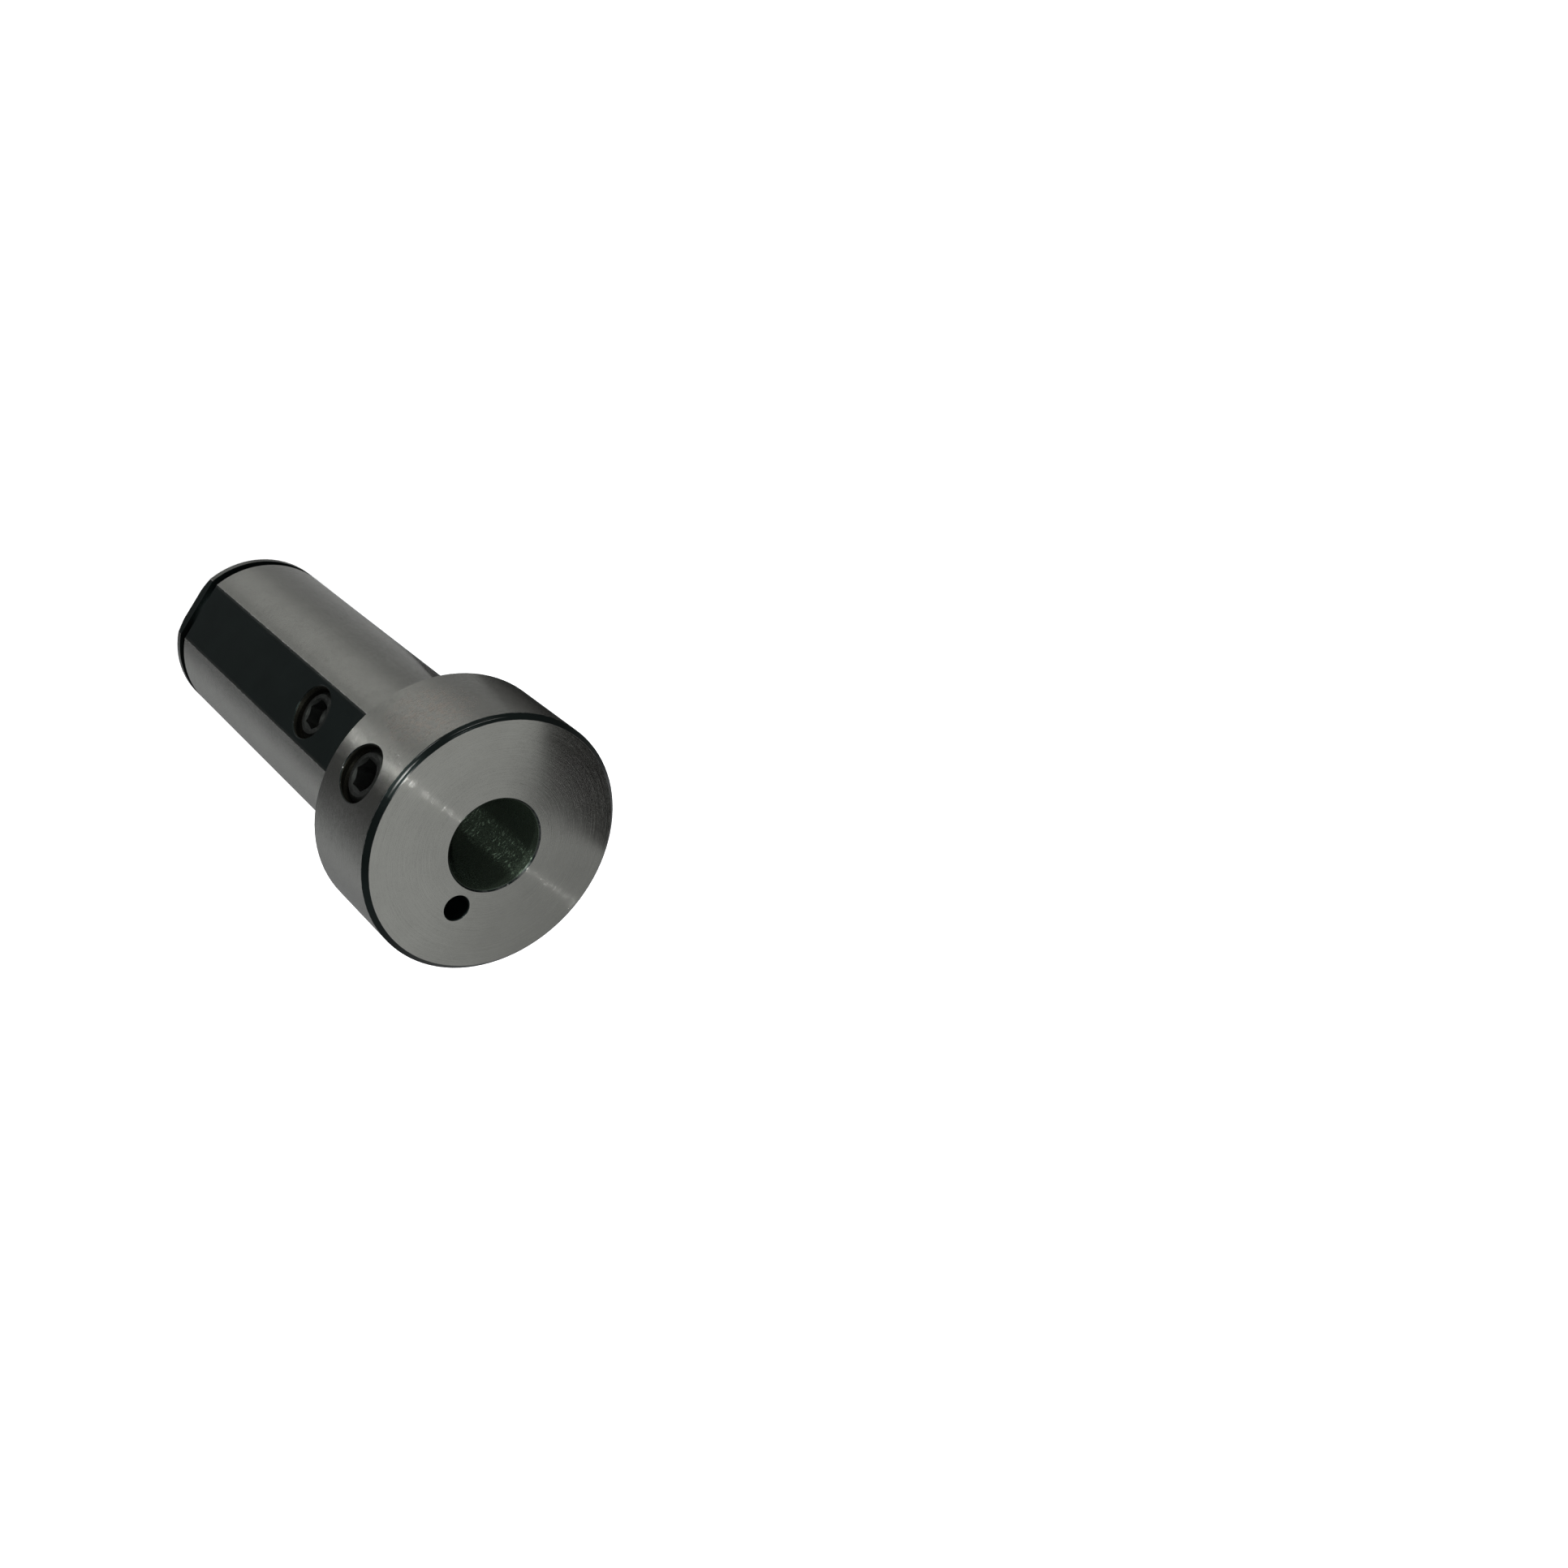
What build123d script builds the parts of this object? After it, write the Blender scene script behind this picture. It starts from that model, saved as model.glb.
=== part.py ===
from build123d import *
import math
import os

# Boring bar reducing sleeve: carries a 10 mm boring bar in a 20 mm turret bore.
# All sizes are millimetres.
# The origin is the centre of the tail's end face and +Z runs to the collar's front face.
# +X points to the side with the clamping screws and +Y to the coolant hole.

# Main sizes
shank_diameter = 20.0
bore_diameter = 10.0
collar_diameter = 28.0
shank_length = 50.0
collar_length = 11.5

# Edge breaks
front_chamfer = 0.55
collar_rear_break = 0.15
tail_chamfer = 0.5
bore_front_break = 0.2
bore_tail_break = 0.4
screw_hole_break = 0.12
coolant_hole_break = 0.1

# Two opposite flats on the shank
flat_depth = 0.72

# Groove round the tail, with a narrow land behind it
groove_width = 1.4
groove_depth = 1.0
land_width = 1.3

# Undercut where the shank meets the collar
neck_depth = 1.0
neck_width = 1.6
shoulder_relief_depth = 0.3
shoulder_relief_reach = 1.0
neck_corner_radius = 0.25

# Clamping screws: M6 with a hexagon socket and a cup point
# The body is plain, at the thread's outside diameter
screw_diameter = 6.0
screw_clearance = 0.04
screw_key_size = 3.0
screw_key_lead_in = 0.12
screw_top_chamfer = 0.7
screw_tip_chamfer = 1.1
cup_diameter = 3.0
cup_angle = 120.0

# Collar screw: its hole is measured back from the front face
collar_screw_offset = 6.0
collar_screw_recess = 0.6
collar_screw_length = 8.0
collar_screw_key_depth = 3.5
collar_screw_key_turn = 27.0

# Flat screw: its hole is measured back from the shoulder
flat_screw_offset = 15.0
flat_screw_recess = 0.58
flat_screw_length = 3.5
flat_screw_key_depth = 1.6
flat_screw_key_turn = 20.0

# Coolant hole in the front face, and the slanted hole that feeds it from the bore
coolant_diameter = 2.7
coolant_offset = 7.35
coolant_depth = 20.0
feed_diameter = 2.7
feed_aim_offset = -3.2
drill_point_angle = 118.0

# Sizes that follow from the ones above
shank_radius = shank_diameter / 2
bore_radius = bore_diameter / 2
collar_radius = collar_diameter / 2
total_length = shank_length + collar_length
flat_height = shank_radius - flat_depth
groove_floor_radius = shank_radius - groove_depth
neck_floor_radius = shank_radius - neck_depth
screw_hole_radius = screw_diameter / 2
screw_radius = screw_hole_radius - screw_clearance
collar_screw_z = total_length - collar_screw_offset
flat_screw_z = shank_length - flat_screw_offset
collar_screw_top = collar_radius - collar_screw_recess
flat_screw_top = flat_height - flat_screw_recess
coolant_radius = coolant_diameter / 2
coolant_floor_z = total_length - coolant_depth

# How far a cutter runs past what it cuts
overrun = 2.0

upright = (Align.CENTER, Align.CENTER, Align.MIN)


def rod(radius, low_z, high_z):
    """A plain cylinder about Z between two heights."""
    return Pos(0, 0, low_z) * Cylinder(radius, high_z - low_z, align=upright)


def ring(inner_radius, outer_radius, low_z, high_z):
    """A plain ring about Z between two heights."""
    return rod(outer_radius, low_z, high_z) - rod(inner_radius, low_z, high_z)


def drill_point(radius, angle):
    """A cone that points down from z = 0, as a drill of this point angle leaves."""
    height = radius / math.tan(math.radians(angle / 2))
    cone = Cone(radius, 0, height, align=upright)
    return Rot(180, 0, 0) * cone


def circle_edges(shape, radius, z):
    """The circular edges of one radius at one height."""
    found = []
    for edge in shape.edges().filter_by(GeomType.CIRCLE):
        same_radius = abs(edge.radius - radius) < 1e-4
        same_height = abs(edge.center(CenterOf.BOUNDING_BOX).Z - z) < 1e-4
        if same_radius and same_height:
            found.append(edge)
    if not found:
        raise ValueError("no circular edge with this radius and height")
    return found


def screw_hole_mouth(shape, z):
    """The edge where a screw hole leaves the outside, which is a saddle curve on the collar."""
    found = []
    for edge in shape.edges():
        box = edge.bounding_box()
        on_axis = abs(edge.center(CenterOf.BOUNDING_BOX).Z - z) < 0.1
        as_wide = box.size.Z < screw_diameter + 0.1 and box.size.Z > screw_diameter / 2 - 0.1
        outside = box.min.X > flat_height - 0.01
        if on_axis and as_wide and outside:
            found.append(edge)
    if not found:
        raise ValueError("no mouth edge for the screw hole at this height")
    return found


# Turned blank: shank and collar in one piece, with broken outer edges
sleeve = rod(shank_radius, 0, shank_length) + rod(collar_radius, shank_length, total_length)
sleeve = chamfer(circle_edges(sleeve, shank_radius, 0), tail_chamfer)
sleeve = chamfer(circle_edges(sleeve, collar_radius, total_length), front_chamfer)
sleeve = chamfer(circle_edges(sleeve, collar_radius, shank_length), collar_rear_break)

# Through bore for the boring bar
sleeve = sleeve - rod(bore_radius, -overrun, total_length + overrun)
sleeve = chamfer(circle_edges(sleeve, bore_radius, total_length), bore_front_break)
sleeve = chamfer(circle_edges(sleeve, bore_radius, 0), bore_tail_break)

# Undercut at the shoulder: slanted wall on the shank's side, relief cut into the shoulder
neck_low_z = shank_length - neck_width
neck_start_z = neck_low_z - neck_depth
relief_radius = shank_radius + shoulder_relief_reach
relief_z = shank_length + shoulder_relief_depth
neck_floor_low = (neck_floor_radius, 0, neck_low_z)
neck_start = (shank_radius, 0, neck_start_z)
neck_outer_low = (relief_radius, 0, neck_start_z)
relief_outer = (relief_radius, 0, relief_z)
relief_inner = (neck_floor_radius, 0, relief_z)
neck_outline = Polyline(neck_floor_low, neck_start, neck_outer_low, relief_outer, relief_inner, close=True)
neck_cut = revolve(make_face(neck_outline.edges()), Axis.Z)
sleeve = sleeve - neck_cut
sleeve = fillet(circle_edges(sleeve, neck_floor_radius, relief_z), neck_corner_radius)

# Two opposite flats that run from the tail into the undercut
flat_cutter_width = shank_diameter + overrun
flat_cutter_length = neck_low_z + overrun
flat_cutter = Box(overrun, flat_cutter_width, flat_cutter_length, align=(Align.MIN, Align.CENTER, Align.MIN))
flat_cut = Pos(flat_height, 0, -overrun) * flat_cutter
sleeve = sleeve - flat_cut
sleeve = sleeve - Rot(0, 0, 180) * flat_cut

# Groove round the tail, deeper than the flats
groove_high_z = land_width + groove_width
sleeve = sleeve - ring(groove_floor_radius, shank_radius + overrun, land_width, groove_high_z)

# Tapped holes for the clamping screws, from the outside into the bore
screw_drill = Rot(0, 90, 0) * rod(screw_hole_radius, 0, collar_radius + overrun)
sleeve = sleeve - Pos(0, 0, collar_screw_z) * screw_drill
sleeve = sleeve - Pos(0, 0, flat_screw_z) * screw_drill
sleeve = chamfer(screw_hole_mouth(sleeve, collar_screw_z), screw_hole_break)
sleeve = chamfer(screw_hole_mouth(sleeve, flat_screw_z), screw_hole_break)

# Coolant hole: blind and parallel to the bore
coolant_drill = rod(coolant_radius, coolant_floor_z, total_length + overrun)
coolant_tip = Pos(0, 0, coolant_floor_z) * drill_point(coolant_radius, drill_point_angle)
coolant_cut = Pos(0, coolant_offset, 0) * (coolant_drill + coolant_tip)
sleeve = sleeve - coolant_cut
sleeve = chamfer(circle_edges(sleeve, coolant_radius, total_length), coolant_hole_break)

# Feed: a slanted hole, drilled through the bore's mouth, from the bore to the coolant hole's end
feed_rise = coolant_depth
feed_run = coolant_offset - feed_aim_offset
feed_tilt = math.degrees(math.atan2(feed_run, feed_rise))
feed_stop = (coolant_offset - bore_radius / 2) / math.sin(math.radians(feed_tilt))
feed_drill = Rot(feed_tilt, 0, 0) * rod(feed_diameter / 2, 0, feed_stop)
sleeve = sleeve - Pos(0, coolant_offset, coolant_floor_z) * feed_drill


def set_screw(length, key_depth, key_turn):
    """A set screw along Z, with its socket end at z = 0 and its cup point at z = -length."""
    screw = rod(screw_radius, -length, 0)
    screw = chamfer(circle_edges(screw, screw_radius, 0), screw_top_chamfer)
    screw = chamfer(circle_edges(screw, screw_radius, -length), screw_tip_chamfer)
    corner_radius = screw_key_size / math.sqrt(3)
    hexagon = Rot(0, 0, key_turn) * RegularPolygon(corner_radius, 6)
    socket = Pos(0, 0, -key_depth) * extrude(hexagon, key_depth + overrun)
    socket_floor = Pos(0, 0, -key_depth) * drill_point(screw_key_size / 2, drill_point_angle)
    lead_in_radius = corner_radius + screw_key_lead_in
    lead_in = drill_point(lead_in_radius, cup_angle)
    cup = Pos(0, 0, -length) * Rot(180, 0, 0) * drill_point(cup_diameter / 2, cup_angle)
    return screw - socket - socket_floor - lead_in - cup


# The two clamping screws, turned to lie along +X in their holes
point_inwards = Rot(0, 90, 0)
collar_screw = set_screw(collar_screw_length, collar_screw_key_depth, collar_screw_key_turn + 90)
collar_screw = Pos(collar_screw_top, 0, collar_screw_z) * point_inwards * collar_screw
flat_screw = set_screw(flat_screw_length, flat_screw_key_depth, flat_screw_key_turn + 90)
flat_screw = Pos(flat_screw_top, 0, flat_screw_z) * point_inwards * flat_screw

# One file for each piece
os.makedirs("parts", exist_ok=True)
export_step(sleeve, "parts/sleeve_body.step")
export_step(collar_screw, "parts/collar_screw.step")
export_step(flat_screw, "parts/flat_screw.step")
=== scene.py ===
import math

import bmesh
import bpy
from bpy.props import FloatProperty, FloatVectorProperty, IntProperty, PointerProperty
from mathutils import Matrix, Vector


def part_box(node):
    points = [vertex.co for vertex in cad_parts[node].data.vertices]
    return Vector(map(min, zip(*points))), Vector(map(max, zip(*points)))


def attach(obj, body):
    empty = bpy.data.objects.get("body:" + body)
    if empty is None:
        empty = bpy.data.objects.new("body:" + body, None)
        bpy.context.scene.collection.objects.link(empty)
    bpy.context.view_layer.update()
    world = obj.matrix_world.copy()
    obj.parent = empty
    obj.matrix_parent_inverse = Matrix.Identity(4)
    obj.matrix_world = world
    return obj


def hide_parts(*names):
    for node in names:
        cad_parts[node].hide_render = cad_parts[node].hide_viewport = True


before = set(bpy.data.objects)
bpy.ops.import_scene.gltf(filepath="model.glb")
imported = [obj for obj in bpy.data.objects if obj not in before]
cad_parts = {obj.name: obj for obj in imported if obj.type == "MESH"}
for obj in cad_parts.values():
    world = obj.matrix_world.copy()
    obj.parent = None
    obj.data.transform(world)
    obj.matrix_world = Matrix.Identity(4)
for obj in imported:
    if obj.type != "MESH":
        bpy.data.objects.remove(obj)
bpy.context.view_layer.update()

# The whole CAD box, kept before anything is added
SLEEVE_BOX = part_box("sleeve_body")
COLLAR_SCREW_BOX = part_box("collar_screw")
FLAT_SCREW_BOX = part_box("flat_screw")

bl_info = {
    "name": "Boring bar reducing sleeve",
    "version": (1, 0, 0),
    "blender": (4, 5, 0),
    "location": "3D View > Sidebar > Sleeve",
    "description": "Finishes a turret sleeve: ground and blackened steel, threaded screws and a stage",
    "category": "Object",
}

MM = 0.001
MM_IN_METRE = 1000.0


# Properties: the sizes and colours a user would change


def length(name, description, default):
    """A length property in metres."""
    return FloatProperty(name=name, description=description, default=default, unit="LENGTH", precision=5)


def colour(name, description, default):
    """A linear colour property."""
    return FloatVectorProperty(
        name=name,
        description=description,
        default=default,
        subtype="COLOR",
        size=3,
        min=0.0,
        max=1.0,
    )


def count(name, description, default, lowest):
    """A whole number property."""
    return IntProperty(name=name, description=description, default=default, min=lowest)


class SLEEVE_PG_sizes(bpy.types.PropertyGroup):
    """Where the sleeve's finishes begin and end."""

    total_length: length("Overall length", "Tail face to front face", SLEEVE_BOX[1].z)
    collar_radius: length("Collar radius", "Outside radius of the collar", SLEEVE_BOX[1].x)
    shoulder_height: length("Shoulder height", "Tail face to the collar's shoulder", 50.0 * MM)
    shank_radius: length("Shank radius", "Outside radius of the ground shank", 10.0 * MM)
    flat_height: length("Flat height", "Axis to each flat on the shank", 9.28 * MM)
    bore_radius: length("Bore radius", "Radius of the through bore", 5.0 * MM)
    front_chamfer: length("Front chamfer", "Width of the blackened chamfer on the collar", 0.55 * MM)
    groove_low: length("Groove start", "Tail face to the tail groove", 1.3 * MM)
    groove_high: length("Groove end", "Tail face to the tail groove's far wall", 2.7 * MM)
    neck_low: length("Undercut start", "Tail face to the undercut's slanted wall", 47.4 * MM)
    relief_radius: length("Relief radius", "Radius of the relief cut into the shoulder", 11.0 * MM)
    collar_hole_height: length("Collar screw height", "Tail face to the collar screw's axis", 55.5 * MM)
    flat_hole_height: length("Flat screw height", "Tail face to the flat screw's axis", 35.0 * MM)
    screw_hole_radius: length("Screw hole radius", "Radius of the two tapped holes", 3.0 * MM)
    coolant_offset: length("Coolant hole offset", "Axis to the coolant hole", 7.35 * MM)
    coolant_radius: length("Coolant hole radius", "Radius of the coolant hole", 1.35 * MM)


class SLEEVE_PG_screw(bpy.types.PropertyGroup):
    """Sizes that both set screws share."""

    major_radius: length("Thread radius", "Outside radius of the thread", 2.96 * MM)
    thread_depth: length("Thread depth", "Crest to root", 0.55 * MM)
    pitch: length("Pitch", "Distance from one turn to the next", 1.0 * MM)
    top_radius: length("Top radius", "Radius of the flat ring round the socket", 2.26 * MM)
    top_chamfer: length("Top chamfer", "Height of the chamfer at the socket end", 0.7 * MM)
    tip_radius: length("Tip radius", "Radius of the ring round the cup point", 1.86 * MM)
    cup_radius: length("Cup radius", "Radius of the cup in the point", 1.5 * MM)
    key_size: length("Key size", "Across the flats of the hexagon socket", 3.0 * MM)
    columns: count("Columns", "Faces round each screw, a multiple of six", 96, 24)
    rows_per_turn: count("Rows in a turn", "Faces along one turn of the thread", 20, 8)


class SLEEVE_PG_colours(bpy.types.PropertyGroup):
    """Linear colours of the finishes and the stage."""

    ground_steel: colour("Ground steel", "Bright ground surfaces", (0.210, 0.212, 0.195))
    handled_steel: colour("Handled steel", "Warm mottled patch on the collar", (0.250, 0.218, 0.190))
    # This colour is also used for the painted highlights along edges and on the chamfer's lines
    bare_edge_and_highlight: colour("Worn edge", "Edges rubbed back to bare steel", (0.34, 0.34, 0.33))
    black_oxide: colour("Black oxide", "Blackened surfaces", (0.026, 0.036, 0.034))
    bore_steel: colour("Bore steel", "Blackened bore with turning marks", (0.030, 0.042, 0.030))
    oily_steel: colour("Oily steel", "Walls of the tapped holes", (0.018, 0.018, 0.014))
    screw_black: colour("Screw black", "Blackened set screws", (0.036, 0.039, 0.036))
    cool_light: colour("Cool light", "Light from the coolant hole's side", (0.97, 0.98, 1.0))
    floor: colour("Floor", "Pale floor", (0.85, 0.85, 0.85))


# Nodes and shader maths


class Wire:
    """One output socket, with operators that add Math nodes to its tree."""

    def __init__(self, nodes, socket):
        self.nodes = nodes
        self.socket = socket

    def math(self, operation, *others):
        """A Math node with this wire as its first input."""
        return self.nodes.math(operation, self, *others)

    def __add__(self, other):
        return self.math("ADD", other)

    __radd__ = __add__

    def __mul__(self, other):
        return self.math("MULTIPLY", other)

    __rmul__ = __mul__

    def __sub__(self, other):
        return self.math("SUBTRACT", other)

    def __rsub__(self, other):
        return self.nodes.math("SUBTRACT", other, self)

    def __truediv__(self, other):
        return self.math("DIVIDE", other)

    def __rtruediv__(self, other):
        return self.nodes.math("DIVIDE", other, self)

    def __pow__(self, other):
        return self.math("POWER", other)

    def __rpow__(self, other):
        return self.nodes.math("POWER", other, self)

    def __abs__(self):
        return self.math("ABSOLUTE")

    def over(self, other):
        """The larger of two values."""
        return self.math("MAXIMUM", other)

    def under(self, other):
        """The smaller of two values."""
        return self.math("MINIMUM", other)

    def ramp(self, low, high, out_low=0.0, out_high=1.0):
        """A smooth step from one value to another."""
        settings = {"interpolation_type": "SMOOTHSTEP"}
        inputs = {"Value": self, "From Min": low, "From Max": high, "To Min": out_low, "To Max": out_high}
        return self.nodes.wire("ShaderNodeMapRange", "Result", settings, inputs)

    def pick(self, first, second):
        """The first value where this mask is zero, and the second where it is one."""
        return self.ramp(0.0, 1.0, first, second)

    def spread(self, low, high):
        """Noise, which mostly lies between 0.3 and 0.7, drawn out over another range."""
        return self.ramp(0.3, 0.7, low, high)

    def between(self, low, high, soft):
        """One inside a range and zero outside it, with soft edges inside the range."""
        return self.ramp(low, low + soft) * self.ramp(high, high - soft)

    def line(self, centre, width):
        """A soft line where this value passes a centre."""
        return abs(self - centre).ramp(width, width * 0.35)


def distance(across, up):
    """The distance from an axis, from two wires."""
    return (across * across + up * up) ** 0.5


class Nodes:
    """A node tree, the one method that adds a node to it, and short names for what is added often."""

    def __init__(self, tree):
        self.tree = tree

    def node(self, kind, settings=None, inputs=None):
        """A node of a type, with its settings made first and then its sockets' values or links."""
        node = self.tree.nodes.new(kind)
        for key, value in (settings or {}).items():
            setattr(node, key, value)
        for key, value in (inputs or {}).items():
            if isinstance(value, Wire):
                self.tree.links.new(value.socket, node.inputs[key])
            else:
                node.inputs[key].default_value = value
        return node

    def wire(self, kind, output, settings=None, inputs=None):
        """The named output of a new node."""
        return Wire(self, self.node(kind, settings, inputs).outputs[output])

    def math(self, operation, *values):
        """A Math node with its inputs in order."""
        return self.wire("ShaderNodeMath", 0, {"operation": operation}, dict(enumerate(values)))

    def parts(self, vector):
        """The three parts of a vector."""
        node = self.node("ShaderNodeSeparateXYZ", inputs={"Vector": vector})
        return tuple(Wire(self, node.outputs[axis]) for axis in "XYZ")

    def place(self):
        """The three Object coordinates, in millimetres."""
        metres = self.parts(self.wire("ShaderNodeTexCoord", "Object"))
        return tuple(part * MM_IN_METRE for part in metres)

    def vector(self, x, y, z):
        """A vector from three values."""
        return self.wire("ShaderNodeCombineXYZ", "Vector", inputs={"X": x, "Y": y, "Z": z})

    def noise(self, vector, scale, detail, roughness):
        """Noise between zero and one."""
        inputs = {"Vector": vector, "Scale": scale, "Detail": detail, "Roughness": roughness}
        return self.wire("ShaderNodeTexNoise", "Fac", {"noise_dimensions": "3D"}, inputs)

    def mix(self, factor, first, second):
        """A colour between two colours."""
        settings = {"data_type": "RGBA", "clamp_factor": True}
        return self.wire("ShaderNodeMix", 2, settings, {0: factor, 6: first, 7: second})

    def tint(self, shade, brightness):
        """A colour, either a wire or a plain one, scaled by a value."""
        first = shade if isinstance(shade, Wire) else shade[:3]
        return self.wire("ShaderNodeVectorMath", 0, {"operation": "SCALE"}, {0: first, "Scale": brightness})

    def bump(self, height):
        """A bumped normal from a height in millimetres."""
        inputs = {"Strength": 1.0, "Distance": MM, "Height": height}
        return self.wire("ShaderNodeBump", "Normal", inputs=inputs)

    def shader(self, **inputs):
        """A Principled shader, with its sockets' names written with underscores."""
        named = {key.replace("_", " "): value for key, value in inputs.items()}
        return self.wire("ShaderNodeBsdfPrincipled", "BSDF", {"distribution": "MULTI_GGX"}, named)

    def turned_shader(self, anisotropic, **inputs):
        """A Principled shader whose highlights are drawn out across the turning marks."""
        return self.shader(Anisotropic=anisotropic, Anisotropic_Rotation=0.25, **inputs)

    def mix_shader(self, factor, first, second):
        """A shader between two shaders."""
        return self.wire("ShaderNodeMixShader", "Shader", inputs={0: factor, 1: first, 2: second})

    def surface(self, shader, kind="ShaderNodeOutputMaterial"):
        """Ends the tree with its surface."""
        self.node(kind, inputs={"Surface": shader})


def emptied(owner):
    """The nodes of a material or a world, with none in them yet."""
    owner.use_nodes = True
    owner.node_tree.nodes.clear()
    return Nodes(owner.node_tree)


def rgba(value):
    """A colour property with full alpha."""
    return (value[0], value[1], value[2], 1.0)


def cosine(degrees):
    """The cosine of an angle in degrees."""
    return math.cos(math.radians(degrees))


def turned(degrees):
    """The unit vector in the XY plane at an angle from +X."""
    return math.cos(math.radians(degrees)), math.sin(math.radians(degrees))


# The sleeve's finish, where all sizes are millimetres

# The bore's side with a painted highlight band of bright flecks, and the chamfer's side with painted
# highlight lines
GLINT_BAND_SIDE = turned(171)
HIGHLIT_CHAMFER_SIDE = turned(-30)

# Middle of the warm patch that hands have left on the collar
PATCH_MIDDLE = (14.0 * 0.79, -14.0 * 0.61, 56.0)

# How far the ground steel keeps from the tapped holes, the bore and the collar's rear edge
HOLE_MARGIN = 0.13
BORE_MARGIN = 0.17
REAR_MARGIN = 0.13

# Width of the tail's chamfer, of a finish's soft border, and of a thin line along an edge that is partly
# wear and partly painted highlight
TAIL_CHAMFER = 0.5
SOFT = 0.03
EDGE_LINE = 0.04

# Ground steel, on the outside and on the face: lightness, where the face's is painted light, roughness and
# height of its fine strokes
STEEL_TONE = (1.0, 1.07)
STEEL_ROUGHNESS = (0.26, 0.17)
STROKE_HEIGHT = (0.0014, 0.0006)

# Its deeper scratches, on the outside and on the face: height, frequency round the axis and amount
SCRATCH_HEIGHT = (0.078, 0.062)
SCRATCH_FREQUENCY = (14.0, 1.5)
SCRATCH_AMOUNT = (1.5, 1.0)
SCRATCH_ROUGHNESS = 0.13

# How much of the narrow land at the tail is ground
LAND_SHARE = 0.4

# Lightness of black oxide on turned and on milled surfaces, of the bore off and in its painted highlight
# band, and of the painted highlight on its flecks
OXIDE_TONE = (0.38, 0.72)
BORE_TONE = (1.2, 2.1)
FLECK_HIGHLIGHT_TONE = 8.0

# Heights that the bump gives to black surfaces
GRAIN_HEIGHT = 0.0012
MARK_HEIGHT = 0.002
RIDGE_HEIGHT = 0.05
CHATTER_HEIGHT = 0.02
FLECK_HEIGHT = 0.06
THREAD_HEIGHT = 0.2


class SleevePlaces:
    """Where a point is on the sleeve, with the sleeve's sizes and the textures that finishes share."""

    def __init__(self, f, sizes):
        self.f = f
        for key in sizes.__annotations__:
            setattr(self, key, getattr(sizes, key) / MM)
        self.x, self.y, self.z = f.place()
        self.radius = distance(self.x, self.y)
        self.cos_turn = self.x / self.radius.over(0.01)
        self.sin_turn = self.y / self.radius.over(0.01)
        self.side = abs(self.x)
        self.collar_top = self.total_length - self.front_chamfer
        self.face_edge = self.collar_radius - self.front_chamfer
        self.hole_edge = self.screw_hole_radius + HOLE_MARGIN
        self.above_collar_hole = self.z - self.collar_hole_height
        self.above_flat_hole = self.z - self.flat_hole_height
        self.collar_hole = distance(self.y, self.above_collar_hole)
        self.flat_hole = distance(self.y, self.above_flat_hole)
        self.coolant_hole = distance(self.x, self.y - self.coolant_offset)
        self.screw_side = self.x.ramp(0.0, 1.0)
        self.on_face = self.z.ramp(self.total_length - 0.03, self.total_length - 0.005)
        self.in_bore = self.radius.ramp(self.bore_radius + 0.05, self.bore_radius + 0.02)

        # Marks run round the part: across them is height on the outside and radius on the end faces
        self.across = self.radius + self.z
        self.place = f.vector(self.x, self.y, self.z)
        self.cloud = f.noise(self.place, 0.25, 3.0, 0.5)
        self.grain = f.noise(self.place, 9.0, 2.0, 0.6)
        self.marks = self.turning(self.across * 7.0, 2.0, 5.0, 0.65)

    def turning(self, across, around, detail, roughness):
        """Noise from a place across the marks and a frequency round the axis."""
        vector = self.f.vector(across, self.cos_turn * around, self.sin_turn * around)
        return self.f.noise(vector, 1.0, detail, roughness)

    def towards(self, direction, outer, inner):
        """One close to a direction from the axis and zero far from it, from two angles in degrees."""
        along = (self.x * direction[0] + self.y * direction[1]) / self.radius
        return along.ramp(cosine(outer), cosine(inner))

    def in_hole(self, hole):
        """One inside a tapped hole, from the distance to its axis."""
        return hole.ramp(self.screw_hole_radius + 0.05, self.screw_hole_radius + 0.02) * self.screw_side


def ground_zones(p):
    """Where the sleeve was ground after blackening: collar, face, shank, tail land and shoulder."""
    clear_of_screw = 1.0 - p.collar_hole.ramp(p.hole_edge, p.hole_edge - SOFT) * p.screw_side
    clear_of_coolant = p.coolant_hole.ramp(p.coolant_radius, p.coolant_radius + 0.02)
    on_collar = p.radius.ramp(p.collar_radius - 0.5, p.collar_radius - 0.4)
    on_shank = p.radius.ramp(p.shank_radius - 0.12, p.shank_radius - 0.06)
    off_flats = p.side.ramp(p.flat_height + 0.004, p.flat_height - 0.008)
    collar = p.z.between(p.shoulder_height + 0.12, p.collar_top, SOFT) * on_collar * clear_of_screw
    face = p.on_face * p.radius.between(p.bore_radius + BORE_MARGIN, p.face_edge + 0.02, SOFT)
    face = face * clear_of_coolant
    shank = p.z.between(p.groove_high, p.neck_low, SOFT) * on_shank * off_flats
    land = p.z.between(TAIL_CHAMFER - SOFT, p.groove_low, SOFT) * on_shank * off_flats
    at_shoulder = abs(p.z - p.shoulder_height).ramp(SOFT, 0.01)
    shoulder = at_shoulder * p.radius.between(p.relief_radius, p.collar_radius - REAR_MARGIN, SOFT)
    return collar.over(face).over(shank).over(land * LAND_SHARE).over(shoulder)


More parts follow.
